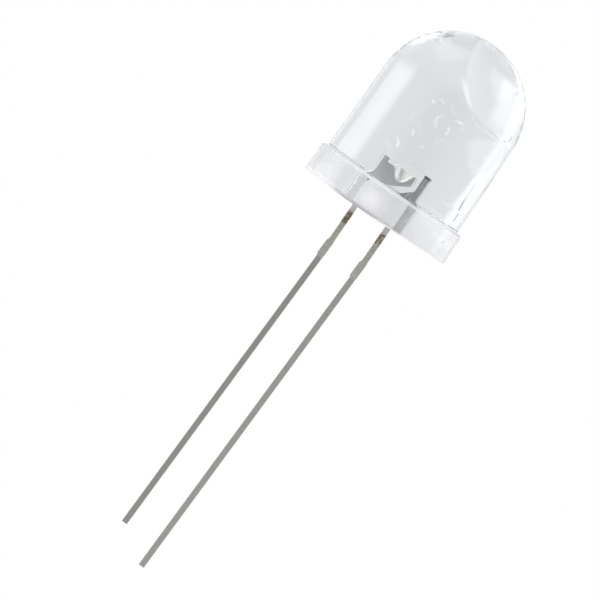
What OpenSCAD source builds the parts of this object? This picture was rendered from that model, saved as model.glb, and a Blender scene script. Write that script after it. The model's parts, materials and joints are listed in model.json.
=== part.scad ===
// Round through-hole LED with a clear cast body, a stamped two-lead frame, a chip in a coined cup
// and one bond wire. The origin is on the body's axis at the seating plane, under the flange.
// +Z is the optical axis, the cathode lead is on the -X side and the anode lead on the +X side.

/* [Lens body] */
// Diameter of the body at the parallel band above the flange
body_d = 10; // [8:0.1:12]
// Height from the seating plane to the top of the dome
body_h = 13.3; // [11:0.1:16]
// Height of the parallel band above the flange, where a panel clip grips
land_h = 1.15; // [0.6:0.05:2.4]
// Draft of the wall above the parallel band, in degrees
wall_draft = 1.1; // [0.2:0.1:2]

/* [Flange] */
// Thickness of the flange
flange_h = 2.05; // [1.2:0.05:2.6]
// How far the flange stands out past the wall at the seating plane
flange_w = 0.41; // [0.3:0.01:0.8]
// Draft of the flange's rim, in degrees
flange_draft = 1.7; // [0.2:0.1:3]
// Radius of the flange's upper edge
flange_round = 0.15; // [0.05:0.01:0.18]

/* [Leads] */
// Distance between the centre lines of the two leads
lead_pitch = 2.54; // [2.1:0.02:3.1]
// How far the lead pair sits off the body's axis, negative towards the cathode
pair_shift = -0.1; // [-0.2:0.01:0.1]
// Width of a lead across the pitch
lead_w = 0.4; // [0.3:0.01:0.5]
// Thickness of the sheet that both leads are stamped from
sheet_t = 0.5; // [0.4:0.01:0.6]
// Length of the cathode lead below the seating plane
cathode_l = 25.4; // [15:0.1:32]
// Length of the anode lead below the seating plane
anode_l = 27.1; // [16:0.1:34]

/* [Dam bar stubs] */
// Depth of the stubs' upper end below the seating plane
stub_z = 2.8; // [2.2:0.1:4]
// Length of a stub along the lead, its end slopes included
stub_l = 1.35; // [0.8:0.05:2]
// Length of the slope at each end of a stub
stub_slope = 0.2; // [0.1:0.05:0.35]
// How far a stub stands out on its cathode side
stub_out = 0.08; // [0.02:0.01:0.15]
// How far a stub stands out on its anode side
stub_in = 0.02; // [0.01:0.01:0.15]

/* [Lean of the leads] */
// Angle by which both leads lean towards the cathode side from the stubs down, in degrees
lean = 1.75; // [0:0.05:3]

/* [Anvil] */
// Height of the underside of the anvil and of the flag above the seating plane
foot_z = 1.95; // [1.8:0.05:2.1]
// How far the anvil's foot stops short of the body's axis
foot_reach = 0.44; // [0.3:0.02:0.6]
// Height above the seating plane at which the cathode lead starts to flare out into the anvil
neck_z = 1.75; // [1.5:0.05:1.9]
// Height of that flare
neck_h = 0.7; // [0.5:0.02:0.9]
// Height of the horn above the cup's rim
horn_h = 0.16; // [0.05:0.01:0.3]
// Width of the horn
horn_w = 0.35; // [0.25:0.01:0.42]
// Width of the ledge between the horn and the cup
ledge_w = 0.21; // [0.1:0.01:0.3]
// Depth of the ledge between the horn and the cup, below the cup's rim
ledge_drop = 0.12; // [0.05:0.01:0.2]
// Height of the upright edge beside the cup, measured down from its rim
cheek_h = 0.66; // [0.5:0.02:0.9]

/* [Reflector cup] */
// Height of the cup's rim above the seating plane
rim_z = 3.5; // [3.2:0.05:4.3]
// Inside diameter of the cup at its rim
cup_d = 1.11; // [0.92:0.01:1.36]
// Depth of the cup
cup_depth = 0.42; // [0.3:0.02:0.5]
// Thickness of the cup's wall at its rim
cup_wall = 0.085; // [0.06:0.005:0.12]
// Height of the tapered boss that the cup is coined in
boss_h = 0.9; // [0.6:0.05:0.95]
// Diameter of the boss at its lower end, where it is lost in the sheet
boss_tip_d = 0.42; // [0.3:0.02:0.44]

/* [Post and flag] */
// Height of the post's top above the cup's rim
post_h = 0.47; // [0.3:0.01:0.7]
// Width of the post
post_w = 0.31; // [0.25:0.01:0.37]
// Gap between the cup's edge and the post
post_gap = 0.2; // [0.1:0.01:0.25]
// Gap between the anvil's foot and the tip of the flag
foot_gap = 0.68; // [0.5:0.02:0.8]
// Height of the flag's corner at the post, above the flag's underside
flag_h = 0.79; // [0.6:0.01:0.9]
// Height of the shoulder on the post's outer side, above the flag's underside
shoulder_h = 0.42; // [0.2:0.01:0.5]

/* [Chip and bond wire] */
// Side of the square chip
chip_w = 0.3; // [0.2:0.01:0.36]
// Height of the chip
chip_h = 0.15; // [0.08:0.01:0.2]
// Thickness of the conductive adhesive under the chip
glue_t = 0.02; // [0.01:0.005:0.03]
// How far the adhesive stands out around the chip
glue_margin = 0.03; // [0.01:0.005:0.04]
// Clearance between the adhesive's corners and the edge of the cup's floor
floor_margin = 0.045; // [0.02:0.005:0.06]
// Diameter of the bond wire
wire_d = 0.025; // [0.02:0.005:0.05]
// Diameter of the ball on the chip
ball_d = 0.09; // [0.06:0.01:0.12]
// Height of the ball
ball_h = 0.03; // [0.02:0.005:0.05]
// Height of the wire's upright stretch above the top of the post
wire_rise = 0.02; // [0:0.01:0.1]
// Angle at which the wire slopes down to the post, in degrees
wire_slope = 16; // [12:0.5:24]
// Diameter of the flattened stitch on the post
stitch_d = 0.1; // [0.06:0.01:0.14]
// Height of the stitch
stitch_h = 0.025; // [0.02:0.005:0.04]

/* [Hidden] */
$fn = 96;

// Radii of the stamped outlines' corners: most of them, the flag's tip, the neck and the cheek
corner_r = 0.05;
tip_r = 0.025;
neck_r = 0.45;
cheek_r = 0.3;

// Straight steps in each rounded corner of a stamped outline
arc_steps = 6;

// Two unit vectors along an outline's sides add up to less than this where the sides are in line
straight = 0.01;

// How far the upright edge beside the cup, and the end of the ledge, stand in from the cup's edge
cheek_set = 0.015;
ledge_set = 0.04;

// How far a cutting shape runs on past the surface that it cuts
past = 0.1;

// Angles at which the dome meets the wall and the flange's rounded edge meets its rim. They are
// small enough to look smooth, and not 0, so that each line and arc cross at a definite point.
dome_meet = 1;
edge_meet = 3;

// Clear body: a drafted wall, cut off by the dome
body_r = body_d / 2;
land_top = flange_h + land_h;
wall_top_r = body_r - (body_h - land_top) * tan(wall_draft);
meet = wall_draft + dome_meet;
dome_r = wall_top_r / (cos(meet) + (sin(meet) - 1) * tan(wall_draft));
dome_z = body_h - dome_r;
dome_cut_z = dome_z + dome_r * sin(wall_draft);

// Flange: a drafted rim, cut off by the arc of its upper edge
flange_r = body_r + flange_w;
rim_top_r = flange_r - flange_h * tan(flange_draft);
edge_z = flange_h - flange_round;
edge_r = flange_r - (flange_round * cos(edge_meet) + edge_z * sin(flange_draft)) / cos(flange_draft);
edge_cut_z = edge_z + flange_round * sin(flange_draft);

// Leads
cathode_x = pair_shift - lead_pitch / 2;
anode_x = pair_shift + lead_pitch / 2;
half_w = lead_w / 2;

// Cup, on the body's axis
cup_r = cup_d / 2;
boss_r = cup_r + cup_wall;
floor_z = rim_z - cup_depth;
glue_w = chip_w + 2 * glue_margin;
floor_r = glue_w / sqrt(2) + floor_margin;
cheek_x = boss_r - cheek_set;
ledge_x = boss_r - ledge_set;

// Anvil
horn_x = -ledge_x - ledge_w;
anvil_x = horn_x - horn_w;
horn_z = rim_z + horn_h;
ledge_z = rim_z - ledge_drop;
cheek_z = rim_z - cheek_h;

// Post and flag
post_x = boss_r + post_gap;
post_z = rim_z + post_h;
flag_x = foot_gap - foot_reach;

// Chip and wire. The bend has the radius at which the sloping stretch ends on the middle of the post.
chip_z = floor_z + glue_t;
pad_z = chip_z + chip_h;
turn_z = post_z + wire_rise;
stitch_x = post_x + post_w / 2;
loop_r = (stitch_x * sin(wire_slope) - wire_rise * cos(wire_slope)) / (1 + sin(wire_slope));
slope_l = (stitch_x - loop_r) * cos(wire_slope) + wire_rise * sin(wire_slope);

// Unit vector from one point towards another
function toward(from, to) = (to - from) / norm(to - from);

// Points of an arc of radius r that rounds the corner p between its neighbours a and b
function corner_arc(a, p, b, r) =
    let (
        u = toward(p, a),
        v = toward(p, b),
        half = acos(u * v) / 2,
        c = p + toward([0, 0], u + v) * r / sin(half),
        from = p + u * r / tan(half) - c,
        to = p + v * r / tan(half) - c,
        start = atan2(from[1], from[0]),
        raw = atan2(to[1], to[0]) - start,
        sweep = raw > 180 ? raw - 360 : raw < -180 ? raw + 360 : raw
    )
    [for (i = [0:arc_steps])
        let (turn = start + sweep * i / arc_steps)
        c + r * [cos(turn), sin(turn)]];

// Whether an outline turns at p, between its neighbours a and b
function turns(a, p, b) = norm(toward(p, a) + toward(p, b)) > straight;

// Outline through corners given as [x, z, radius]. A corner in line with its neighbours stays a point.
function rounded(corners) =
    let (
        n = len(corners),
        at = [for (c = corners) [c[0], c[1]]]
    )
    [for (i = [0:n - 1])
        let (a = at[(i + n - 1) % n], b = at[(i + 1) % n])
        each corners[i][2] > 0 && turns(a, at[i], b)
            ? corner_arc(a, at[i], b, corners[i][2])
            : [at[i]]];

// Sideways shift of a lead at height z
function leaned(z) = -tan(lean) * max(0, -stub_z - z);

// Corner of a lead at height z, half a lead and then out further to one side of its centre line
function lead_corner(x, side, out, z) = [x + side * (half_w + out) + leaned(z), z, 0];

// Cathode side of a lead, from its tip up past its stub
function cathode_side(x, length) = [
    lead_corner(x, -1, 0, -length),
    lead_corner(x, -1, 0, -stub_z - stub_l),
    lead_corner(x, -1, stub_out, -stub_z - stub_l + stub_slope),
    lead_corner(x, -1, stub_out, -stub_z - stub_slope),
    lead_corner(x, -1, 0, -stub_z)
];

// Anode side of a lead, from above its stub down to its tip
function anode_side(x, length) = [
    lead_corner(x, 1, 0, -stub_z),
    lead_corner(x, 1, stub_in, -stub_z - stub_slope),
    lead_corner(x, 1, stub_in, -stub_z - stub_l + stub_slope),
    lead_corner(x, 1, 0, -stub_z - stub_l),
    lead_corner(x, 1, 0, -length)
];

// Sheet of the frame's thickness, stamped to an outline in the XZ plane
module stamped(corners) {
    translate([0, sheet_t / 2, 0])
        rotate([90, 0, 0])
            linear_extrude(sheet_t)
                polygon(rounded(corners));
}

// Half section of the flange
module flange_section() {
    intersection() {
        polygon([[0, 0], [flange_r, 0], [rim_top_r, flange_h], [0, flange_h]]);
        union() {
            translate([edge_r, edge_z]) circle(flange_round);
            square([edge_r, flange_h]);
            square([flange_r + past, edge_cut_z]);
        }
    }
}

// Half section of the wall and the dome above the parallel band
module dome_section() {
    intersection() {
        polygon([[0, land_top], [body_r, land_top], [wall_top_r, body_h], [0, body_h]]);
        union() {
            translate([0, dome_z]) circle(dome_r);
            square([body_r + past, dome_cut_z]);
        }
    }
}

// Solid of revolution of the clear body, before the frame is cast into it
module body_form() {
    rotate_extrude() {
        flange_section();
        square([body_r, land_top]);
        dome_section();
    }
}

// Cathode lead with its anvil, horn and coined cup
module cathode_form() {
    difference() {
        union() {
            stamped(concat(
                cathode_side(cathode_x, cathode_l),
                [
                    [cathode_x - half_w, neck_z, corner_r],
                    [anvil_x, neck_z + neck_h, neck_r],
                    [anvil_x, horn_z, corner_r],
                    [horn_x, horn_z, corner_r],
                    [horn_x, ledge_z, corner_r],
                    [-ledge_x, ledge_z, 0],
                    [-ledge_x, rim_z, 0],
                    [cheek_x, rim_z, 0],
                    [cheek_x, cheek_z, cheek_r],
                    [-foot_reach, foot_z, corner_r],
                    [cathode_x + half_w, foot_z, corner_r]
                ],
                anode_side(cathode_x, cathode_l)
            ));
            translate([0, 0, rim_z - boss_h]) cylinder(h = boss_h, r1 = boss_tip_d / 2, r2 = boss_r);
        }
        cup_space();
    }
}

// Space inside the reflector cup, run on past the rim along the same slope
module cup_space() {
    slope = (cup_r - floor_r) / cup_depth;
    translate([0, 0, floor_z]) cylinder(h = cup_depth + past, r1 = floor_r, r2 = cup_r + slope * past);
}

// Anode lead with its flag and bond post
module anode_form() {
    stamped(concat(
        cathode_side(anode_x, anode_l),
        [
            [anode_x - half_w, foot_z, corner_r],
            [flag_x, foot_z, tip_r],
            [flag_x, foot_z + 2 * tip_r, tip_r],
            [post_x, foot_z + flag_h, corner_r],
            [post_x, post_z, corner_r],
            [post_x + post_w, post_z, corner_r],
            [post_x + post_w, foot_z + shoulder_h, corner_r],
            [anode_x + half_w, foot_z, corner_r]
        ],
        anode_side(anode_x, anode_l)
    ));
}

// Square film of conductive adhesive on the cup's floor
module glue_form() {
    translate([-glue_w / 2, -glue_w / 2, floor_z]) cube([glue_w, glue_w, glue_t]);
}

// Light-emitting chip, on the body's axis
module chip_form() {
    translate([-chip_w / 2, -chip_w / 2, chip_z]) cube([chip_w, chip_w, chip_h]);
}

// Places its children at the wire's bend, turned so that the bend starts at the sloping end
module at_bend() {
    translate([loop_r, 0, turn_z])
        rotate([90, 0, 0])
            rotate([0, 0, 90 - wire_slope])
                children();
}

// Bond wire: a ball on the chip, a loop over the cup's rim and a stitch on the post. Its sloping
// stretch is cut off level with the top of the post.
module wire_form() {
    translate([0, 0, pad_z]) cylinder(h = ball_h, d = ball_d);
    translate([0, 0, pad_z]) cylinder(h = turn_z - pad_z, d = wire_d);
    at_bend() rotate_extrude(angle = 90 + wire_slope) translate([loop_r, 0]) circle(d = wire_d);
    difference() {
        at_bend() translate([loop_r, 0, 0]) rotate([90, 0, 0]) cylinder(h = slope_l + past, d = wire_d);
        translate([stitch_x, 0, post_z - past]) cylinder(h = past, r = 3 * past);
    }
    translate([stitch_x, 0, post_z]) cylinder(h = stitch_h, d = stitch_d);
}

module lens_body() {
    color([0.86, 0.89, 0.9, 0.35])
        difference() {
            body_form();
            cathode_form();
            anode_form();
            glue_form();
            chip_form();
            wire_form();
        }
}

module cathode_lead() {
    color([0.62, 0.62, 0.6]) cathode_form();
}

module anode_lead() {
    color([0.6, 0.6, 0.58]) anode_form();
}

module die_attach() {
    color([0.78, 0.77, 0.74]) glue_form();
}

module led_chip() {
    color([0.85, 0.84, 0.6]) chip_form();
}

module bond_wire() {
    color([0.95, 0.78, 0.35]) wire_form();
}

lens_body();
cathode_lead();
anode_lead();
die_attach();
led_chip();
bond_wire();
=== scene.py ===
import json
import math

import bmesh
import bpy
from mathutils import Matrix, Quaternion, Vector


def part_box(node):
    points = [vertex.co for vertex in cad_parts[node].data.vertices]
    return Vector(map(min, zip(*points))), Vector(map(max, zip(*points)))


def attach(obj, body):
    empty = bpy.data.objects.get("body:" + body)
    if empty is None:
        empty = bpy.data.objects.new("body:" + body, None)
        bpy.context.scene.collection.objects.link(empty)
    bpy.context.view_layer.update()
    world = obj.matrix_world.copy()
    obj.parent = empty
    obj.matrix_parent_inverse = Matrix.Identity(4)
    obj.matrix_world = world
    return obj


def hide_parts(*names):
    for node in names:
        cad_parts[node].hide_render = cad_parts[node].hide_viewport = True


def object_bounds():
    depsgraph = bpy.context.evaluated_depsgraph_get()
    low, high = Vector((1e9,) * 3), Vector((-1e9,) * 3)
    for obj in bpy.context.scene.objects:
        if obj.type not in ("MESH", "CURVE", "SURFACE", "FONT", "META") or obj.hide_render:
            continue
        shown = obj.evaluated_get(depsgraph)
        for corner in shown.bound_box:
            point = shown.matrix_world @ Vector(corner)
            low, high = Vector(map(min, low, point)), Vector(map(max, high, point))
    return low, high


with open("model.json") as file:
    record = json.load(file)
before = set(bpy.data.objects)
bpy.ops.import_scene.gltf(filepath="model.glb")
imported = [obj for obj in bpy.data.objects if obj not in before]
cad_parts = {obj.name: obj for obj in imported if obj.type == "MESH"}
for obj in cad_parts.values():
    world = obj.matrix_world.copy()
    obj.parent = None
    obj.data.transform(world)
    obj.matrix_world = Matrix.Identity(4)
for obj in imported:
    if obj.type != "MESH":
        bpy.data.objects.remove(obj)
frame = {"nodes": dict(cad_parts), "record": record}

MM = 0.001

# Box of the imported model, its nodes, and its mounts by name
cad_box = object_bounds()
nodes = frame["nodes"]
mounts = {mount["name"]: mount for mount in frame["record"]["mounts"]}


# ---------------------------------------------------------------- sizes, in metres
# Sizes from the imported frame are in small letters. Chosen ones are in capitals.

# Clear body
body_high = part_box("lens_body")[1]
body_h = body_high.z
flange_r = body_high.x
flange_h = mounts["flange_top"]["pos_m"][2]
body_r = mounts["panel_land"]["dims"]["r_mm"] * MM
land_top = flange_h + mounts["panel_land"]["dims"]["length_mm"] * MM
WALL_DRAFT = math.radians(1.1)
FLANGE_DRAFT = math.radians(1.7)

# Rounding of the flange's top edge, of the corner above it and of its lower rim
TOP_ROUND = 0.15 * MM
STEP_ROUND = 0.04 * MM
RIM_ROUND = 0.05 * MM

# Meniscus that the epoxy left inside the lower rim, and the waviness of the cast skin
MENISCUS_W = 0.6 * MM
MENISCUS_H = 0.08 * MM
WAVE_DEPTH = 0.012 * MM
WAVE_SIZE = 3.5 * MM
WAVE_SEED = 4

# Sides of the turned body, and the steps along its section: across the underside, round each small
# corner and the flange's top edge, and up the band, the wall and the dome
BODY_SIDES = 192
UNDER_STEPS = 24
CORNER_STEPS = 6
TOP_STEPS = 10
BAND_STEPS = 6
WALL_STEPS = 24
DOME_STEPS = 64

# Stamped frame and chip. The wire's end lies a little past the middle of the post.
WIRE_PAST_POST = 0.05 * MM
CUP_BELOW_POST = 0.47 * MM
sheet_t = 2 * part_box("anode_lead")[1].y
post_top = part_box("anode_lead")[1].z
post_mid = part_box("bond_wire")[1].x - WIRE_PAST_POST
rim_z = post_top - CUP_BELOW_POST
chip_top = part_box("led_chip")[1].z

# Rounding of the frame's sheared edges, its segments, its share outside the body, and the height above
# which it is full. The point of the flag gathers what lies within its reach.
CATHODE_EDGE = 0.045 * MM
ANODE_EDGE = 0.012 * MM
EDGE_SEGMENTS = 3
OUTSIDE_SHARE = 0.3
FULL_ABOVE = 0.3 * MM
TIP_REACH = 0.06 * MM

# Most that the normal of a sheared side points along y, and least that the normal of a face does
SIDE_TURN = 0.01
FACE_TURN = 0.99

# Vertices closer than this are one, and faces that turn less than this are flat
SAME_PLACE = 1e-7
SAME_PLANE = math.radians(1)

# Floor, far below the leads
FLOOR_R = 1.5
FLOOR_SIDES = 64
FLOOR_DROP = 320 * MM

# Camera: its place, the point it looks at, its roll in degrees, and its lens and sensor in millimetres
EYE = Vector((0.157, -250.0, 7.909)) * MM
TARGET = Vector((-0.858, 0.0, -7.162)) * MM
ROLL = 34.53
LENS = 234.2
SENSOR = 36
CLIP_NEAR = 0.01
CLIP_FAR = 10


# ---------------------------------------------------------------- node trees

def add(tree, kind, inputs=None, **settings):
    """Adds a node, sets its properties, then fills or links its inputs by name or number."""
    made = tree.nodes.new(kind)
    for name, value in settings.items():
        setattr(made, name, value)
    for name, value in (inputs or {}).items():
        socket = made.inputs[name]
        if isinstance(value, bpy.types.NodeSocket):
            tree.links.new(value, socket)
        else:
            socket.default_value = value
    return made


def maths(tree, operation, *values):
    """Output of a Math node."""
    return add(tree, "ShaderNodeMath", dict(enumerate(values)), operation=operation).outputs[0]


def vector_maths(tree, operation, *values, output=0):
    """Output of a Vector Math node."""
    made = add(tree, "ShaderNodeVectorMath", dict(enumerate(values)), operation=operation)
    return made.outputs[output]


def parts_of(tree, vector):
    """The x, y and z outputs of a vector."""
    return add(tree, "ShaderNodeSeparateXYZ", {0: vector}).outputs


def highest(tree, values):
    """Output of the highest of several values."""
    top, *others = values
    for value in others:
        top = maths(tree, "MAXIMUM", top, value)
    return top


def soft_step(tree, value, start, end, low=0.0, high=1.0):
    """Output that goes smoothly from low to high as value goes from start to end."""
    return add(tree, "ShaderNodeMapRange", {
        "Value": value, "From Min": start, "From Max": end, "To Min": low, "To Max": high,
    }, interpolation_type="SMOOTHSTEP").outputs[0]


def between(tree, value, low, high, soft):
    """1 where the value lies between low and high, falling to 0 over a soft edge."""
    rise = soft_step(tree, value, low - soft / 2, low + soft / 2)
    fall = soft_step(tree, value, high + soft / 2, high - soft / 2)
    return maths(tree, "MULTIPLY", rise, fall)


def towards(tree, share, value, goal):
    """Number that goes from value to goal as share goes from 0 to 1."""
    return maths(tree, "MULTIPLY_ADD", maths(tree, "SUBTRACT", goal, value), share, value)


def blend(tree, share, low, high):
    """Colour that goes from low to high as share goes from 0 to 1."""
    made = add(tree, "ShaderNodeMix", {"Factor": share, 6: low, 7: high}, data_type="RGBA")
    return made.outputs[2]


def shade(tree, colour, other):
    """A colour or level times another."""
    return add(tree, "ShaderNodeMix", {"Factor": 1.0, 6: colour, 7: other}, data_type="RGBA",
               blend_type="MULTIPLY").outputs[2]


def ramp(tree, factor, stops):
    """Colour ramp through (position, (red, green, blue)) stops."""
    made = add(tree, "ShaderNodeValToRGB", {"Fac": factor})
    elements = made.color_ramp.elements
    while len(elements) < len(stops):
        elements.new(1.0)
    for element, (position, colour) in zip(elements, stops):
        element.position = position
        element.color = (*colour, 1)
    return made.outputs["Color"]


def mix_shaders(tree, share, first, second):
    """Shader output that goes from the first node to the second as share goes from 0 to 1."""
    return add(tree, "ShaderNodeMixShader", {
        0: share, 1: first.outputs[0], 2: second.outputs[0]}).outputs[0]


def new_material(name):
    """A material with an empty node tree and an output."""
    material = bpy.data.materials.new(name)
    material.use_nodes = True
    material.node_tree.nodes.clear()
    return material, material.node_tree, add(material.node_tree, "ShaderNodeOutputMaterial")


# ---------------------------------------------------------------- studio

# Soft lights of the studio: azimuth and elevation of the middle, half width and half height, all in
# degrees, how far a light leans to the left as it rises, softness as a share of the half size, and
# strength. Azimuth 0 is straight behind the part and 90 is to its right. A dark card has a strength
# below 0.
LIGHTS = {
    "right": (40, 21, 13, 28, 0.0, 0.45, 0.2),
    "left": (-53, 10, 13, 34, 0.0, 0.6, 0.2),
    "left foot": (-51, -2.8, 18, 0.75, 4.8, 0.3, 0.15),
    "left land": (-51, -1.12, 15, 0.23, 0.0, 0.35, 0.12),
    "low left": (-32, -45, 44, 42, 0.36, 0.05, 0.08),
    "low left shade": (-36, -49.5, 44, 43, 0.36, 0.3, -0.06),
    "low left glint": (-3.5, -10.6, 1.8, 4.8, 1.1, 0.9, 0.13),
    "low left core": (-38, -22, 16, 16, 0.0, 0.6, 0.2),
    "right low": (90, -50, 36, 26, 0.0, 0.5, 0.9),
    "left low": (-90, -50, 36, 26, 0.0, 0.5, 0.9),
    "right high": (86, 58, 30, 15, 0.0, 0.9, 1.6),
    "left high": (-86, 58, 32, 16, 0.0, 0.8, 1.1),
    "right side": (100, 0, 30, 9, 0.0, 0.6, 0.4),
    "left side": (-105, 0, 30, 9, 0.0, 0.6, 0.3),
    "left wedge": (-44, -1.75, 14, 0.42, -33.0, 0.4, 0.08),
    "strut": (-47.5, -2.72, 1.2, 0.45, -4.5, 0.6, -0.65),
    "strut foot": (-49.8, -1.1, 0.9, 0.16, 0.0, 0.6, -0.6),
    "strut top": (-55, -5.9, 0.8, 2.4, 0.0, 0.6, -0.5),
    "stand": (73, -50, 20, 6.0, 0.0, 0.5, -1.05),
    "stand inside": (50, -43.5, 10, 4.8, 0.0, 0.5, -0.44),
    "stand glint": (77, -53.5, 8, 1.2, 0.0, 0.6, 0.7),
    "stand foot glint": (60, -45.5, 9, 1.0, 0.0, 0.6, 0.5),
    "right of stand": (58, -38, 12, 4.0, 0.0, 0.8, 0.25),
}

# How square the outline of a light is: 2 is an ellipse, and more is squarer
SQUARENESS = 6.0

# Levels of the tent round the part: at its sides, behind it, and in the opening in front. The back's
# level comes in as the way turns from sideways, 0, to straight back, 1.
TENT_SIDES = 1.0
TENT_BACK = 0.77
BACK_STARTS = 0.1
BACK_FULL = 0.72
OPENING = 0.25

# Half angle of the opening and the width of its soft edge, in degrees
OPENING_HALF = 14
OPENING_SOFT = 24

# Strength of the even light that surfaces get, the colour of the tent, and white
ROOM = 1.0
TENT_TINT = (0.98, 1.0, 1.015, 1)
WHITE = (1, 1, 1, 1)


def light_share(tree, azimuth, elevation, light):
    """What one soft light or dark card adds in a direction."""
    middle_a, middle_e, half_a, half_e, lean, soft, strength = light
    turn = maths(tree, "WRAP", maths(tree, "SUBTRACT", azimuth, middle_a), 180.0, -180.0)
    rise = maths(tree, "SUBTRACT", elevation, middle_e)
    off_a = maths(tree, "DIVIDE", maths(tree, "MULTIPLY_ADD", rise, lean, turn), half_a)
    off_e = maths(tree, "DIVIDE", rise, half_e)
    powers = [maths(tree, "POWER", maths(tree, "ABSOLUTE", part), SQUARENESS)
              for part in (off_a, off_e)]
    off = maths(tree, "POWER", maths(tree, "ADD", *powers), 1 / SQUARENESS)
    return soft_step(tree, off, 1.0 + soft / 2, 1.0 - soft / 2, 0.0, strength)


def studio_tree():
    """Group that gives the colour of the tent and its soft lights in a direction."""
    tree = bpy.data.node_groups.new("Studio", "ShaderNodeTree")
    tree.interface.new_socket("Direction", in_out="INPUT", socket_type="NodeSocketVector")
    tree.interface.new_socket("Color", in_out="OUTPUT", socket_type="NodeSocketColor")
    given = add(tree, "NodeGroupInput").outputs["Direction"]
    x, y, z = parts_of(tree, vector_maths(tree, "NORMALIZE", given))
    azimuth = maths(tree, "DEGREES", maths(tree, "ARCTAN2", x, y))
    elevation = maths(tree, "DEGREES", maths(tree, "ARCSINE", z))
    level = soft_step(tree, y, BACK_STARTS, BACK_FULL, TENT_SIDES, TENT_BACK)
    for light in LIGHTS.values():
        level = maths(tree, "ADD", level, light_share(tree, azimuth, elevation, light))
    from_front = maths(tree, "DEGREES", maths(tree, "ARCCOSINE", maths(tree, "MULTIPLY", y, -1.0)))
    tent = soft_step(tree, from_front, OPENING_HALF, OPENING_HALF + OPENING_SOFT)
    level = maths(tree, "MULTIPLY_ADD", maths(tree, "SUBTRACT", level, OPENING), tent, OPENING)
    add(tree, "NodeGroupOutput", {"Color": shade(tree, level, TENT_TINT)})
    return tree


def studio_colour(tree, studio, direction):
    """Colour of the studio in a direction, from its group."""
    return add(tree, "ShaderNodeGroup", {"Direction": direction}, node_tree=studio).outputs["Color"]


def gloss_or_glass(tree, path):
    """1 for a ray from gloss or through glass."""
    return maths(tree, "MAXIMUM", path["Is Glossy Ray"], path["Is Transmission Ray"])


def build_world(studio):
    """White to the camera, an even light to surfaces, and the tent to gloss and glass."""
    world = bpy.data.worlds.new("Studio")
    bpy.context.scene.world = world
    world.use_nodes = True
    tree = world.node_tree
    tree.nodes.clear()
    way = add(tree, "ShaderNodeTexCoord").outputs["Generated"]
    path = add(tree, "ShaderNodeLightPath").outputs
    seen = blend(tree, path["Is Camera Ray"], studio_colour(tree, studio, way), WHITE)
    shows = maths(tree, "MAXIMUM", path["Is Camera Ray"], gloss_or_glass(tree, path))
    room = add(tree, "ShaderNodeBackground", {"Color": WHITE, "Strength": ROOM})
    backdrop = add(tree, "ShaderNodeBackground", {"Color": seen, "Strength": 1.0})
    add(tree, "ShaderNodeOutputWorld", {"Surface": mix_shaders(tree, shows, room, backdrop)})


def build_floor(studio):
    """Plain white floor. Gloss and glass see the tent's light on it."""
    bpy.ops.mesh.primitive_circle_add(vertices=FLOOR_SIDES, radius=FLOOR_R, fill_type="NGON")
    floor = bpy.context.object
    floor.name = "floor"
    floor.location.z = cad_box[0].z - FLOOR_DROP
    material, tree, output = new_material("Floor")
    paint = add(tree, "ShaderNodeBsdfDiffuse", {"Color": WHITE})
    spot = add(tree, "ShaderNodeNewGeometry").outputs["Position"]
    glow = add(tree, "ShaderNodeEmission", {"Color": studio_colour(tree, studio, spot)})
    path = add(tree, "ShaderNodeLightPath").outputs
    both = mix_shaders(tree, gloss_or_glass(tree, path), paint, glow)
    tree.links.new(both, output.inputs["Surface"])
    floor.data.materials.append(material)


def build_camera():
    """Camera with a long lens, rolled so that the part leans to the right."""
    data = bpy.data.cameras.new("camera")
    data.lens = LENS
    data.sensor_width = SENSOR
    data.clip_start = CLIP_NEAR
    data.clip_end = CLIP_FAR
    camera = bpy.data.objects.new("camera", data)
    bpy.context.scene.collection.objects.link(camera)
    camera.location = EYE
    camera.rotation_mode = "QUATERNION"
    look = (TARGET - EYE).to_track_quat("-Z", "Y")
    look.rotate(Quaternion(TARGET - EYE, math.radians(-ROLL)))
    camera.rotation_quaternion = look
    bpy.context.scene.camera = camera


# ---------------------------------------------------------------- finishes
# Places on a piece are in millimetres here. x runs to the right, y away from the front and z up.
# A fade is a pair of places: where something starts to show, and where it is full. A stretch is its two
# ends, the width of their soft edges, and its share. A grain is its features a millimetre along x, y
# and z, its detail, and its seed. A range is the part of a grain that is spread out.

def principled(tree, output, inputs):
    """Principled shader wired to the material's output."""
    shader = add(tree, "ShaderNodeBsdfPrincipled", inputs)
    tree.links.new(shader.outputs[0], output.inputs["Surface"])


def place_mm(tree):
    """Place on the object in millimetres."""
    place = add(tree, "ShaderNodeTexCoord").outputs["Object"]
    return vector_maths(tree, "MULTIPLY", place, (1 / MM,) * 3)


def from_axis(tree, x, y):
    """Distance from the Z axis."""
    return maths(tree, "SQRT", maths(tree, "MULTIPLY_ADD", x, x, maths(tree, "MULTIPLY", y, y)))


def over_flange(tree, z):
    """Height over the flange's top."""
    return maths(tree, "SUBTRACT", z, flange_h / MM)


def stretch(tree, place, limits):
    """Share of a stretch at a place."""
    low, high, soft, share = limits
    return maths(tree, "MULTIPLY", between(tree, place, low, high, soft), share)


def noise(tree, vector, grain):
    """Level of a grain at a place, from 0 to 1."""
    features, detail, seed = grain
    spread = add(tree, "ShaderNodeMapping", {"Vector": vector, "Scale": features}).outputs[0]
    return add(tree, "ShaderNodeTexNoise", {
        "Vector": spread, "W": seed, "Scale": 1.0, "Detail": detail}, noise_dimensions="4D").outputs[0]


def bump(tree, height, depth, strength=1.0):
    """Normal of a surface whose height varies by depth, in metres."""
    return add(tree, "ShaderNodeBump", {
        "Height": height, "Distance": depth, "Strength": strength}).outputs[0]


# ---------------------------------------------------------------- clear epoxy

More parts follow.
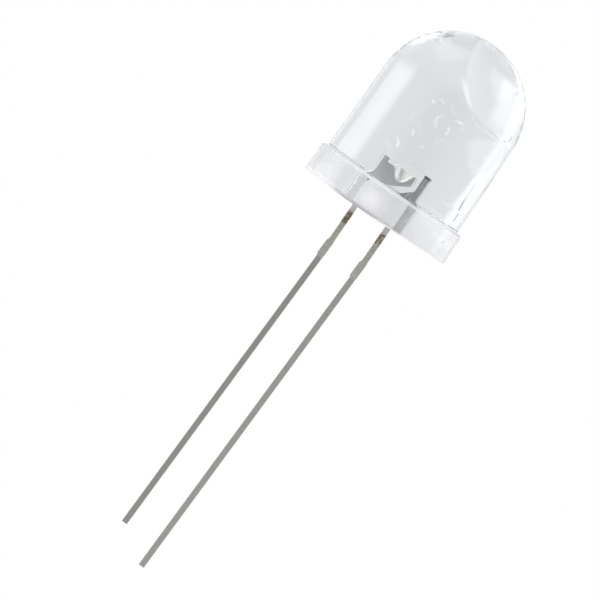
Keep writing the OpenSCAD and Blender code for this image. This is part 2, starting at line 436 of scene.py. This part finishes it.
# Faint milky strokes on the front of the clear body, partly flow marks of the cast and partly painted
# highlights for streaks and spots of light: x and z of the middle, half length and half width in
# millimetres, tilt in degrees, bend, and share of milk
FLOW_MARKS_AND_HIGHLIGHTS = [
    (-1.00, 8.13, 0.22, 0.14, -30, 0.0, 0.7),
    (-0.55, 8.50, 0.45, 0.10, -8, 0.6, 0.45),
    (1.12, 8.00, 0.38, 0.11, 0, 0.2, 0.95),
    (0.82, 7.13, 0.36, 0.13, -75, 0.4, 0.9),
    (-0.22, 7.29, 0.72, 0.17, -80, -0.9, 0.5),
    (-0.95, 5.84, 0.30, 0.13, -68, 0.3, 0.75),
    (-1.36, 4.77, 0.50, 0.14, -60, 0.3, 0.85),
    (-1.60, 6.66, 0.70, 0.20, 78, 0.3, 0.18),
    (-0.74, 6.34, 0.60, 0.16, -36, 0.3, 0.2),
    (0.00, 5.43, 0.36, 0.12, 28, 0.3, 0.35),
    (0.66, 6.30, 0.70, 0.22, 62, 0.5, 0.2),
    (-1.75, 4.35, 0.45, 0.16, -12, 0.5, 0.25),
    (0.30, 8.40, 0.60, 0.14, -35, -0.3, 0.25),
    (1.45, 7.72, 0.16, 0.10, -30, 0.0, 0.3),
    (4.05, 6.88, 0.96, 0.16, -39, 0.2, 0.55),
    (3.66, 8.13, 0.24, 0.12, 0, 0.0, 0.6),
    (4.20, 8.13, 0.22, 0.10, 0, 0.0, 0.6),
    (1.85, 8.60, 0.95, 0.08, -28, -0.1, 0.25),
    (3.63, 6.05, 0.55, 0.30, 60, 0.0, 0.2),
    (-2.20, 1.05, 1.15, 0.06, 90, 0.0, 0.9),
]

# Grain that breaks up the flow marks and painted highlights, its range, and the shares of a stroke that
# it keeps
MARK_GRAIN = ((5.0, 5.0, 5.0), 2.0, 9.0)
MARK_RANGE = (0.3, 0.6)
MARK_KEPT = (0.4, 1.0)

# Fades of the front in y, of the flange in height over its top, and of its lower lip in z and in the
# distance from the flange's side
FRONT_FADE = (0.0, -1.0)
FLANGE_FADE = (0.1, 0.02)
LIP_FADE = (0.16, 0.08)
LIP_SIDE_FADE = (0.1, 0.04)

# Milk in the flange's haze: its clouds, their range, the least and most milk in them, what each fade in
# x adds, and a stretch along its top edge
CLOUDS = ((0.5, 0.5, 0.7), 1.0, 2.0)
CLOUD_RANGE = (0.35, 0.65)
CLOUD_MILK = (0.14, 0.26)
SIDE_MILK = [(-1.8, -3.2, 0.04), (1.8, 3.6, 0.13), (3.9, 4.7, 0.08)]
EDGE_MILK = (-0.16, 0.08, 0.06, 0.6)

# Painted highlight on the front of the flange, a bright spot laid in as milk: x, z, reach and share
HIGHLIGHT_PATCH = (-0.8, 0.9, 1.05, 0.46)

# Milk of the lip, which grows over the left end's fade in x, and of the foot under that end
LEFT_FADE = (-2.4, -3.6)
LIP_MILK = (0.75, 0.95)
FOOT_FADE = (0.7, 0.1)
FOOT_MILK = 0.8

# Stretches in x where the haze is darker, and of the flash under the leads
DUSK_RIGHT = (0.3, 1.9, 1.0, 0.9)
DUSK_LEFT = (-3.85, -2.45, 0.5, 0.28)
FLASH = (-2.8, 0.2, 1.6, 1.0)

# Colours of the epoxy
CLEAR = (0.955, 0.968, 0.98, 1)
CLEAR_IN_MARKS = (0.88, 0.95, 1.0, 1)
HAZE = (0.975, 0.972, 0.99, 1)
HAZE_IN_DUSK = (0.84, 0.84, 0.86, 1)
FLASH_COLOUR = (0.45, 0.43, 0.475, 1)

HAZE_ROUGHNESS = 0.05
EPOXY_IOR = 1.5

# Ripples of the cast skin, and their depth
RIPPLES = ((0.9, 0.9, 0.4), 1.0, 5.0)
RIPPLE_DEPTH = 0.0005 * MM


def milky_stroke(tree, front, mark):
    """Share of milk in one bent milky stroke with soft edges; the strokes are partly flow marks and
    partly painted highlights.
    """
    at_x, at_z, half_l, half_w, tilt, bend, share = mark
    local = add(tree, "ShaderNodeMapping", {
        "Vector": front, "Location": (at_x, 0, at_z), "Rotation": (0, -math.radians(tilt), 0),
        "Scale": (half_l, 1, half_w)}, vector_type="TEXTURE").outputs[0]
    parts = parts_of(tree, local)
    square = maths(tree, "MULTIPLY", parts["X"], parts["X"])
    off = maths(tree, "MULTIPLY_ADD", square, bend * half_l / half_w, parts["Z"])
    away = maths(tree, "MULTIPLY_ADD", off, off, square)
    return soft_step(tree, away, 1.0, 0.0, 0.0, share)


def flow_marks_and_highlights(tree, x, z, on_front):
    """Share of milk in all the flow marks and painted highlights, broken up by a fine grain."""
    front = add(tree, "ShaderNodeCombineXYZ", {0: x, 2: z}).outputs[0]
    total = highest(tree, [milky_stroke(tree, front, mark) for mark in FLOW_MARKS_AND_HIGHLIGHTS])
    broken = soft_step(tree, noise(tree, front, MARK_GRAIN), *MARK_RANGE, *MARK_KEPT)
    return maths(tree, "MULTIPLY", maths(tree, "MULTIPLY", total, on_front), broken)


def flange_milk(tree, spot, x, z, lip):
    """Share of milk in the flange: cloudy, and more at its sides, its edges, one painted highlight and
    one foot.
    """
    milk = soft_step(tree, noise(tree, spot, CLOUDS), *CLOUD_RANGE, *CLOUD_MILK)
    for start, end, more in SIDE_MILK:
        milk = maths(tree, "ADD", milk, soft_step(tree, x, start, end, 0.0, more))
    milk = maths(tree, "MAXIMUM", milk, stretch(tree, over_flange(tree, z), EDGE_MILK))
    # Painted highlight: a bright spot on the front of the flange, laid in as milk
    highlight_x, highlight_z, reach, share = HIGHLIGHT_PATCH
    away = vector_maths(tree, "DISTANCE", spot, (highlight_x, -flange_r / MM, highlight_z), output="Value")
    milk = maths(tree, "ADD", milk, soft_step(tree, away, reach, 0.0, 0.0, share))
    lip_milk = maths(tree, "MULTIPLY", lip, soft_step(tree, x, *LEFT_FADE, *LIP_MILK))
    foot = maths(tree, "MULTIPLY", soft_step(tree, x, *LEFT_FADE), soft_step(tree, z, *FOOT_FADE))
    return highest(tree, [milk, lip_milk, maths(tree, "MULTIPLY", foot, FOOT_MILK)])


def haze_colour(tree, x, lip, on_front):
    """Colour of the flange's haze, with its darker stretches and the flash under the leads."""
    dusk = maths(tree, "ADD", stretch(tree, x, DUSK_LEFT), stretch(tree, x, DUSK_RIGHT))
    haze = blend(tree, maths(tree, "MULTIPLY", dusk, on_front), HAZE, HAZE_IN_DUSK)
    flash = maths(tree, "MULTIPLY", lip, stretch(tree, x, FLASH))
    return blend(tree, flash, haze, FLASH_COLOUR)


def clear_epoxy():
    """Cast clear epoxy: glossy on the dome and wall, with a milky mould haze on the flange, and with flow
    marks and painted highlights laid in as milk.
    """
    material, tree, output = new_material("Clear epoxy")
    spot = place_mm(tree)
    x, y, z = parts_of(tree, spot)
    on_front = soft_step(tree, y, *FRONT_FADE)
    flange = soft_step(tree, over_flange(tree, z), *FLANGE_FADE)
    from_side = maths(tree, "SUBTRACT", flange_r / MM, from_axis(tree, x, y))
    lip = maths(tree, "MULTIPLY", soft_step(tree, z, *LIP_FADE),
                soft_step(tree, from_side, *LIP_SIDE_FADE))
    # Milky strokes on the front: flow marks, and painted highlights
    marks = flow_marks_and_highlights(tree, x, z, on_front)
    milk = maths(tree, "MULTIPLY", flange, flange_milk(tree, spot, x, z, lip))
    milk = maths(tree, "MAXIMUM", milk, marks)
    clear = blend(tree, marks, CLEAR, CLEAR_IN_MARKS)
    principled(tree, output, {
        "Base Color": blend(tree, flange, clear, haze_colour(tree, x, lip, on_front)),
        "Roughness": maths(tree, "MULTIPLY", flange, HAZE_ROUGHNESS),
        "IOR": EPOXY_IOR,
        "Transmission Weight": maths(tree, "SUBTRACT", 1.0, milk),
        "Normal": bump(tree, noise(tree, spot, RIPPLES), RIPPLE_DEPTH),
    })
    return material


# ---------------------------------------------------------------- plated frame

# Tin turns to silver over this fade in z
INSIDE_FADE = (-0.1, 0.1)

# Rolling streaks of the sheet, the marks across them, the share of each in the mottle, and the depth
# and strength of their relief
STREAKS = ((16.0, 16.0, 1.1), 4.0, 0.0)
CROSS_MARKS = ((1.5, 1.5, 9.0), 3.0, 3.0)
MOTTLE_SHARE = 0.5
STREAK_DEPTH = 0.002 * MM
STREAK_STRENGTH = 0.6

# Mottled tin from its dark patches to its pale ones, at a painted light level of 1, and its roughness
# over the same
TIN = [(0.36, (0.54, 0.53, 0.49)), (0.5, (0.64, 0.63, 0.588)), (0.64, (0.75, 0.74, 0.70))]
TIN_ROUGHNESS = (0.46, 0.34)

# Stretches in z: the dam bar's stub and the collar under the body are pale, and the lead between them
# is warmer. Its ends are ragged: a grain moves them by up to the ragged width.
STUB = (-4.15, -2.8, 0.25, 0.5)
COLLAR = (-0.62, 0.1, 0.1, 0.9)
PALE_TIN = (0.95, 0.925, 0.88, 1)
WARM = (-2.6, -0.95, 0.5, 0.65)
WARM_TIN = (0.87, 0.83, 0.70, 1)
RAGGED_WIDTH = 0.5
RAGGED_GRAIN = ((3.0, 3.0, 3.0), 2.0, 7.0)

# Flux stains just under the body, ragged too: their stretch, their grain and its range, and their colour
STAIN = (-1.22, -0.36, 0.12, 1.0)
FLUX_GRAIN = ((3.6, 3.6, 5.5), 3.0, 11.0)
FLUX_RANGE = (0.39, 0.53)
FLUX = (0.37, 0.312, 0.185, 1)

# Silver: its brushed grain and the range of it, the tint of its dark streaks and the colour of its pale
# ones. A painted shade makes it fall to its top level over a fade in z, and its finish changes over a
# fade just under the flange's top.
BRUSHED = ((22.0, 22.0, 1.6), 4.0, 1.0)
BRUSHED_RANGE = (0.34, 0.66)
DARK_TINT = (0.98, 1.0, 1.0)
PALE_SILVER = (0.97, 0.975, 0.97)
SHADED_TOP_LEVEL = 0.85
TOP_SHADE_FADE = (2.2, 3.7)
FINISH_FADE = (-0.35, -0.15)

# Coined boss of the cup. It is smoother than the sheet, starts just off the sheet's faces, and a painted
# warm reflection makes its polish warmer over a fade in x.
BOSS_SMOOTHER = 0.12
BOSS_FADE = (0.002, 0.012)
POLISHED = (0.98, 0.98, 0.98, 1)
POLISHED_WARM_REFLECTION = (0.99, 0.97, 0.92, 1)
WARM_REFLECTION_FADE = (-0.1, 0.15)

# Stripe of painted dark reflection down the boss, standing for the dark front mirrored in its flank: its
# lowest and highest x at the rim and the width of its soft edge, how far x moves for each millimetre
# down, and its fade in depth under the rim
DARK_REFLECTION = (0.64, 0.63, 0.605, 1)
DARK_REFLECTION_STRIPE = (-0.22, -0.06, 0.12)
DARK_REFLECTION_LEAN = 0.2
DARK_REFLECTION_FADE = (0.9, 0.35)

# Bare cut end of the post: its fade away from the post's middle, and its fade down from the top
CUT = (0.27, 0.27, 0.265, 1)
CUT_SIDE_FADE = (0.17, 0.15)
CUT_FADE = (0.19, 0.16)

# Burnished rounding of the sheared edges, near white partly as a painted highlight: the stretch of its
# normals towards y, and its roughness
BURNISHED_HIGHLIGHT = (0.98, 0.98, 0.98, 1)
EDGE_TURN = (0.15, 0.96, 0.06, 1.0)
EDGE_ROUGHNESS = 0.12


def tin_colour(tree, spot, z, mottle, tin_lighting):
    """Dull tin on the leads outside the body, with pale stubs and collar and with flux stains, made
    lighter or darker for each lead as painted light.
    """
    tin = ramp(tree, mottle, [(position, [part * tin_lighting for part in tone]) for position, tone in TIN])
    pale = maths(tree, "MAXIMUM", stretch(tree, z, STUB), stretch(tree, z, COLLAR))
    tin = blend(tree, pale, tin, PALE_TIN)
    ragged = maths(tree, "MULTIPLY_ADD", noise(tree, spot, RAGGED_GRAIN), RAGGED_WIDTH, z)
    tin = blend(tree, stretch(tree, ragged, WARM), tin, WARM_TIN)
    flux = soft_step(tree, noise(tree, spot, FLUX_GRAIN), *FLUX_RANGE)
    stain = maths(tree, "MULTIPLY", stretch(tree, ragged, STAIN), flux)
    return blend(tree, stain, tin, FLUX)


def silver_colour(tree, spot, z, dark):
    """Streaked silver on the frame inside the body, with painted shade that makes it a little darker at
    the top.
    """
    low, high = BRUSHED_RANGE
    stops = [(low, [part * dark for part in DARK_TINT]), (high, PALE_SILVER)]
    silver = ramp(tree, noise(tree, spot, BRUSHED), stops)
    # Painted shade: the silver darkens towards the top
    return shade(tree, silver, soft_step(tree, z, *TOP_SHADE_FADE, 1.0, SHADED_TOP_LEVEL))


def boss_colour(tree, x, z):
    """Polished silver of the cup's coined boss, warmer to the right with a painted warm reflection, and
    with a stripe of painted dark reflection down its left flank.
    """
    # Painted warm reflection: the polish turns warmer towards the right
    polished = blend(tree, soft_step(tree, x, *WARM_REFLECTION_FADE), POLISHED, POLISHED_WARM_REFLECTION)
    drop = maths(tree, "SUBTRACT", rim_z / MM, z)
    at_rim = maths(tree, "MULTIPLY_ADD", drop, -DARK_REFLECTION_LEAN, x)
    stripe = between(tree, at_rim, *DARK_REFLECTION_STRIPE)
    # Painted dark reflection, strongest at the rim and fading with depth
    dark_reflection = maths(tree, "MULTIPLY", stripe, soft_step(tree, drop, *DARK_REFLECTION_FADE))
    return blend(tree, dark_reflection, polished, DARK_REFLECTION)


def on_boss(tree, y):
    """1 on the cup's boss, which stands out from the faces of the sheet."""
    off_face = maths(tree, "SUBTRACT", maths(tree, "ABSOLUTE", y), sheet_t / MM / 2)
    return soft_step(tree, off_face, *BOSS_FADE)


def on_cut(tree, x, z):
    """1 on the bare cut end of the post."""
    across = maths(tree, "ABSOLUTE", maths(tree, "SUBTRACT", x, post_mid / MM))
    down = maths(tree, "SUBTRACT", post_top / MM, z)
    return maths(tree, "MULTIPLY", soft_step(tree, across, *CUT_SIDE_FADE),
                 soft_step(tree, down, *CUT_FADE))


def on_edge(tree):
    """1 on the rounded edges, whose normals lie between those of the faces and of the sheared sides."""
    normal = add(tree, "ShaderNodeNewGeometry").outputs["Normal"]
    return stretch(tree, maths(tree, "ABSOLUTE", parts_of(tree, normal)["Y"]), EDGE_TURN)


def plated_frame(name, tin_lighting, dark, polish, dull):
    """Stamped steel: silver plating inside the body, dull tin with flux stains outside it. Each lead gets
    its own brightness of the tin and its own colour of the silver's darkest streaks (dark), which are
    painted light and shade; polish is the silver's roughness and dull its roughness inside the flange."""
    material, tree, output = new_material(name)
    spot = place_mm(tree)
    x, y, z = parts_of(tree, spot)
    streaks = noise(tree, spot, STREAKS)
    crossed = noise(tree, spot, CROSS_MARKS)
    mottle = maths(tree, "MULTIPLY_ADD", crossed, MOTTLE_SHARE,
                   maths(tree, "MULTIPLY", streaks, MOTTLE_SHARE))
    inside = soft_step(tree, z, *INSIDE_FADE)
    boss = on_boss(tree, y)
    cut = on_cut(tree, x, z)
    plain = maths(tree, "SUBTRACT", inside, maths(tree, "MAXIMUM", boss, cut))
    edge = maths(tree, "MULTIPLY", on_edge(tree), plain)

    silver = silver_colour(tree, spot, z, dark)
    silver = blend(tree, boss, silver, boss_colour(tree, x, z))
    silver = blend(tree, cut, silver, CUT)
    colour = blend(tree, inside, tin_colour(tree, spot, z, mottle, tin_lighting), silver)

    rough = soft_step(tree, mottle, TIN[0][0], TIN[-1][0], *TIN_ROUGHNESS)
    silver_rough = soft_step(tree, over_flange(tree, z), *FINISH_FADE, dull, polish)
    rough = towards(tree, inside, rough, silver_rough)
    rough = maths(tree, "MULTIPLY_ADD", boss, -BOSS_SMOOTHER, rough)
    principled(tree, output, {
        # Rounded edges: real burnish, brightened further by a painted highlight
        "Base Color": blend(tree, edge, colour, BURNISHED_HIGHLIGHT),
        "Metallic": 1.0,
        "Roughness": towards(tree, edge, rough, EDGE_ROUGHNESS),
        "Normal": bump(tree, maths(tree, "ADD", streaks, crossed), STREAK_DEPTH, STREAK_STRENGTH),
    })
    return material


# ---------------------------------------------------------------- chip, adhesive and wire

# Range of the grain on these small pieces
SMALL_RANGE = (0.3, 0.7)

# Adhesive: its flakes from their middles outwards, how many lie along a millimetre, how metallic they
# are, and its roughness with its grain
FLAKES = [(0.0, (0.86, 0.85, 0.82)), (0.5, (0.66, 0.65, 0.62))]
FLAKES_A_MM = 60.0
FLAKE_METAL = 0.7
FLAKE_ROUGHNESS = (0.35, 0.6)
FLAKE_GRAIN = ((30.0, 30.0, 30.0), 2.0, 0.0)
FLAKE_DEPTH = 0.002 * MM

# Chip: the fades of its top down from the top, of its round contact and of its bright square mesa, the
# colours of its sawn sides, its mesa and its contact, its roughness when sawn and when polished, and the
# grain of the saw
CHIP_TOP_FADE = (0.004, 0.002)
CONTACT_FADE = (0.062, 0.058)
MESA_FADE = (0.132, 0.128)
SAWN = [(0.3, (0.24, 0.235, 0.20)), (0.7, (0.40, 0.39, 0.33))]
MESA = (0.62, 0.60, 0.36, 1)
CONTACT = (1.0, 0.77, 0.34, 1)
CHIP_ROUGHNESS = (0.5, 0.14)
SAW_GRAIN = ((8.0, 8.0, 60.0), 3.0, 0.0)
SAW_DEPTH = 0.001 * MM

# Gold wire: the colours and the grain of its die lines, and its roughness
DIE_LINES = [(0.3, (0.97, 0.82, 0.52)), (0.7, (1.0, 0.90, 0.66))]
DIE_GRAIN = ((40.0, 160.0, 40.0), 2.0, 0.0)
WIRE_ROUGHNESS = (0.16, 0.3)
DIE_LINE_DEPTH = 0.0005 * MM


def silver_adhesive():
    """Cured adhesive full of silver flakes."""
    material, tree, output = new_material("Silver adhesive")
    spot = place_mm(tree)
    flakes = add(tree, "ShaderNodeTexVoronoi", {
        "Vector": spot, "Scale": FLAKES_A_MM}).outputs["Distance"]
    mottle = noise(tree, spot, FLAKE_GRAIN)
    principled(tree, output, {
        "Base Color": ramp(tree, flakes, FLAKES),
        "Metallic": FLAKE_METAL,
        "Roughness": soft_step(tree, mottle, *SMALL_RANGE, *FLAKE_ROUGHNESS),
        "Normal": bump(tree, flakes, FLAKE_DEPTH),
    })
    return material


def chip_finish():
    """Light-emitting chip: polished top with a round contact and a border, and sawn sides."""
    material, tree, output = new_material("Chip")
    spot = place_mm(tree)
    x, y, z = parts_of(tree, spot)
    top = soft_step(tree, maths(tree, "SUBTRACT", chip_top / MM, z), *CHIP_TOP_FADE)
    contact = maths(tree, "MULTIPLY", top, soft_step(tree, from_axis(tree, x, y), *CONTACT_FADE))
    square = maths(tree, "MAXIMUM", maths(tree, "ABSOLUTE", x), maths(tree, "ABSOLUTE", y))
    mesa = maths(tree, "MULTIPLY", top, soft_step(tree, square, *MESA_FADE))
    polished = maths(tree, "MAXIMUM", mesa, contact)
    saw = noise(tree, spot, SAW_GRAIN)
    colour = blend(tree, mesa, ramp(tree, saw, SAWN), MESA)
    colour = blend(tree, contact, colour, CONTACT)
    principled(tree, output, {
        "Base Color": colour,
        "Metallic": contact,
        "Roughness": soft_step(tree, polished, 0.0, 1.0, *CHIP_ROUGHNESS),
        "Normal": bump(tree, saw, SAW_DEPTH),
    })
    return material


def gold_wire():
    """Drawn gold wire with faint die lines."""
    material, tree, output = new_material("Gold wire")
    drawn = noise(tree, place_mm(tree), DIE_GRAIN)
    principled(tree, output, {
        "Base Color": ramp(tree, drawn, DIE_LINES),
        "Metallic": 1.0,
        "Roughness": soft_step(tree, drawn, *SMALL_RANGE, *WIRE_ROUGHNESS),
        "Normal": bump(tree, drawn, DIE_LINE_DEPTH),
    })
    return material


def refinish(node, material):
    """Gives a carried-over node another material."""
    for slot in nodes[node].material_slots:
        slot.material = material


# ---------------------------------------------------------------- clear body

# The corner between the band and the wall has a ring close to it on each side, which keeps it sharp.
# How far each lies from the corner is a share of a step.
BAND_CLOSE = 0.07
WALL_CLOSE = 0.05


def line(start, end, shares):
    """Points at the given shares of the way from start to end."""
    return [(start[0] + (end[0] - start[0]) * share, start[1] + (end[1] - start[1]) * share)
            for share in shares]


def arc(centre, radius, start, end, steps):
    """Points of an arc, with its angles in radians."""
    angles = [start + (end - start) * i / steps for i in range(steps + 1)]
    return [(centre[0] + radius * math.cos(angle), centre[1] + radius * math.sin(angle))
            for angle in angles]


def underside_profile():
    """Flat underside, with the meniscus that runs down to the lower rim."""
    inner = flange_r - RIM_ROUND - MENISCUS_W
    flat = [(inner * i / UNDER_STEPS, MENISCUS_H) for i in range(UNDER_STEPS)]
    shares = [i / UNDER_STEPS for i in range(UNDER_STEPS + 1)]
    meniscus = [(inner + MENISCUS_W * share, MENISCUS_H * (1 - share ** 3 * (4 - 3 * share)))
                for share in shares]
    return flat + meniscus


def body_profile():
    """Half section of the clear body as (radius, height) points, from its underside to the dome's top."""
    wall_top_r = body_r - (body_h - land_top) * math.tan(WALL_DRAFT)
    dome_r = wall_top_r / (1 / math.cos(WALL_DRAFT) - math.tan(WALL_DRAFT))
    dome_z = body_h - dome_r
    spring = (dome_r * math.cos(WALL_DRAFT), dome_z + dome_r * math.sin(WALL_DRAFT))
    edge_z = flange_h - TOP_ROUND
    edge_r = flange_r - (TOP_ROUND + edge_z * math.sin(FLANGE_DRAFT)) / math.cos(FLANGE_DRAFT)
    up = math.pi / 2
    rim = arc((flange_r - RIM_ROUND, RIM_ROUND), RIM_ROUND, -up, 0.0, CORNER_STEPS)
    top_edge = arc((edge_r, edge_z), TOP_ROUND, FLANGE_DRAFT, up, TOP_STEPS)
    corner = arc((body_r + STEP_ROUND, flange_h + STEP_ROUND), STEP_ROUND, 3 * up, 2 * up,
                 CORNER_STEPS)
    band_steps = [*range(1, BAND_STEPS), BAND_STEPS - BAND_CLOSE, BAND_STEPS]
    band = line((body_r, flange_h + STEP_ROUND), (body_r, land_top),
                [step / BAND_STEPS for step in band_steps])
    wall_steps = [WALL_CLOSE, *range(1, WALL_STEPS)]
    wall = line((body_r, land_top), spring, [step / WALL_STEPS for step in wall_steps])
    dome = arc((0.0, dome_z), dome_r, WALL_DRAFT, up, DOME_STEPS)
    return underside_profile() + rim[1:] + top_edge + corner + band + wall + dome[:-1] + [(0.0, body_h)]


def turned_tree():
    """Geometry nodes that turn a profile of edges round the Z axis and make it a little wavy."""
    tree = bpy.data.node_groups.new("Turned body", "GeometryNodeTree")
    for name, kind in (("Geometry", "Geometry"), ("Sides", "Int"), ("Waviness", "Float"),
                       ("Wave Size", "Float"), ("Seed", "Int"), ("Material", "Material")):
        tree.interface.new_socket(name, in_out="INPUT", socket_type="NodeSocket" + kind)
    tree.interface.new_socket("Geometry", in_out="OUTPUT", socket_type="NodeSocketGeometry")
    given = add(tree, "NodeGroupInput").outputs
    place = add(tree, "GeometryNodeInputPosition").outputs[0]

    # A grid from -0.5 to 0.5 each way, with one row of vertices for each point of the profile, rolled
    # up round the axis
    rows = add(tree, "GeometryNodeAttributeDomainSize", {0: given["Geometry"]}).outputs[0]
    grid = add(tree, "GeometryNodeMeshGrid", {
        "Size X": 1.0, "Size Y": 1.0, "Vertices X": rows,
        "Vertices Y": maths(tree, "ADD", given["Sides"], 1.0)}).outputs[0]
    along = parts_of(tree, place)
    row = maths(tree, "MULTIPLY", maths(tree, "ADD", along[0], 0.5), maths(tree, "SUBTRACT", rows, 1.0))
    turn = maths(tree, "MULTIPLY", maths(tree, "ADD", along[1], 0.5), 2 * math.pi)
    sampled = add(tree, "GeometryNodeSampleIndex", {
        "Geometry": given["Geometry"], "Value": place, "Index": maths(tree, "ROUND", row)},
        data_type="FLOAT_VECTOR", domain="POINT").outputs[0]
    point = parts_of(tree, sampled)
    spun = add(tree, "ShaderNodeCombineXYZ", {
        0: maths(tree, "MULTIPLY", point[0], maths(tree, "COSINE", turn)),
        1: maths(tree, "MULTIPLY", point[0], maths(tree, "SINE", turn)),
        2: point[2]}).outputs[0]
    shell = add(tree, "GeometryNodeSetPosition", {"Geometry": grid, "Position": spun}).outputs[0]
    shell = add(tree, "GeometryNodeMergeByDistance", {
        "Geometry": shell, "Distance": SAME_PLACE}).outputs[0]
    shell = add(tree, "GeometryNodeFlipFaces", {"Mesh": shell}).outputs[0]

    # Waves that only go inwards
    wave = add(tree, "ShaderNodeTexNoise", {
        "Vector": place, "W": given["Seed"], "Detail": 1.0,
        "Scale": maths(tree, "DIVIDE", 1.0, given["Wave Size"])}, noise_dimensions="4D").outputs[0]
    depth = maths(tree, "MULTIPLY", maths(tree, "SUBTRACT", wave, 1.0), given["Waviness"])
    outward = add(tree, "GeometryNodeInputNormal").outputs[0]
    offset = add(tree, "ShaderNodeVectorMath", {0: outward, "Scale": depth}, operation="SCALE").outputs[0]
    shell = add(tree, "GeometryNodeSetPosition", {"Geometry": shell, "Offset": offset}).outputs[0]
    shell = add(tree, "GeometryNodeSetShadeSmooth", {0: shell}).outputs[0]
    shell = add(tree, "GeometryNodeRealizeInstances", {0: shell}).outputs[0]
    shell = add(tree, "GeometryNodeSetMaterial", {0: shell, "Material": given["Material"]}).outputs[0]
    add(tree, "NodeGroupOutput", {0: shell})
    return tree


def grown(name, seed_mesh, tree, values):
    """Runs a geometry nodes tree on a mesh and returns the result as a plain mesh object."""
    piece = bpy.data.objects.new(name, seed_mesh)
    bpy.context.scene.collection.objects.link(piece)
    modifier = piece.modifiers.new("Shape", "NODES")
    modifier.node_group = tree
    for item in tree.interface.items_tree:
        if item.in_out == "INPUT" and item.name in values:
            modifier[item.identifier] = values[item.name]
    depsgraph = bpy.context.evaluated_depsgraph_get()
    made = bpy.data.meshes.new_from_object(piece.evaluated_get(depsgraph), depsgraph=depsgraph)
    piece.modifiers.remove(modifier)
    piece.data = made
    made.name = name
    return piece


def point_outwards(mesh):
    """Makes the faces of a closed mesh point outwards."""
    work = bmesh.new()
    work.from_mesh(mesh)
    bmesh.ops.recalc_face_normals(work, faces=work.faces)
    work.to_mesh(mesh)
    work.free()


def build_body(material):
    """The clear body, turned from its half section."""
    points = [(radius, 0.0, height) for radius, height in body_profile()]
    edges = [(i, i + 1) for i in range(len(points) - 1)]
    profile = bpy.data.meshes.new("body profile")
    profile.from_pydata(points, edges, [])
    piece = grown("clear_body", profile, turned_tree(), {
        "Sides": BODY_SIDES, "Waviness": WAVE_DEPTH, "Wave Size": WAVE_SIZE, "Seed": WAVE_SEED,
        "Material": material})
    point_outwards(piece.data)
    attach(piece, "root")
    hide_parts("lens_body")


# ---------------------------------------------------------------- leads

def gather_tip(work):
    """Draws the end of the flag to a point."""
    inner = min(vert.co.x for vert in work.verts if vert.co.z > 0)
    tip = [vert for vert in work.verts if vert.co.z > 0 and vert.co.x < inner + TIP_REACH]
    bmesh.ops.remove_doubles(work, verts=tip, dist=TIP_REACH)


def weigh_sheared_edges(work):
    """Gives a bevel weight to each edge between a face of the sheet and a sheared side."""
    weight = work.edges.layers.float.new("bevel_weight_edge")
    for edge in work.edges:
        turned = sorted(abs(face.normal.y) for face in edge.link_faces)
        if turned[0] < SIDE_TURN and turned[-1] > FACE_TURN:
            middle = (edge.verts[0].co.z + edge.verts[1].co.z) / 2
            edge[weight] = 1.0 if middle > FULL_ABOVE else OUTSIDE_SHARE


def rounded_copy(name, node, edge_round, material):
    """Copy of a stamped piece from the frame with its sheared edges rounded, less so outside the body,
    and the flag's tip pointed."""
    mesh = nodes[node].data.copy()
    mesh.name = name
    work = bmesh.new()
    work.from_mesh(mesh)
    bmesh.ops.remove_doubles(work, verts=work.verts, dist=SAME_PLACE)
    bmesh.ops.dissolve_limit(work, angle_limit=SAME_PLANE, verts=work.verts, edges=work.edges)
    if node == "anode_lead":
        gather_tip(work)
    bmesh.ops.bisect_plane(work, geom=[*work.verts, *work.edges, *work.faces],
                           plane_co=(0, 0, FULL_ABOVE), plane_no=(0, 0, 1))
    work.normal_update()
    weigh_sheared_edges(work)
    work.to_mesh(mesh)
    work.free()
    piece = bpy.data.objects.new(name, mesh)
    bpy.context.scene.collection.objects.link(piece)
    bevel = piece.modifiers.new("Edges", "BEVEL")
    bevel.limit_method = "WEIGHT"
    bevel.width = edge_round
    bevel.segments = EDGE_SEGMENTS
    bevel.use_clamp_overlap = False
    mesh.materials.clear()
    mesh.materials.append(material)
    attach(piece, "root")
    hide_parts(node)


# ---------------------------------------------------------------- the scene

studio = studio_tree()
build_world(studio)
build_floor(studio)
build_camera()

build_body(clear_epoxy())
# The two leads share one plating; their different tin brightness and silver darkness are painted light
# and shade
rounded_copy("cathode", "cathode_lead", CATHODE_EDGE, plated_frame(
    "Cathode plating", tin_lighting=0.94, dark=0.85, polish=0.36, dull=0.8))
rounded_copy("anode", "anode_lead", ANODE_EDGE, plated_frame(
    "Anode plating", tin_lighting=1.10, dark=0.52, polish=0.27, dull=0.3))
refinish("die_attach", silver_adhesive())
refinish("led_chip", chip_finish())
refinish("bond_wire", gold_wire())

bpy.context.scene.view_settings.view_transform = "Standard"
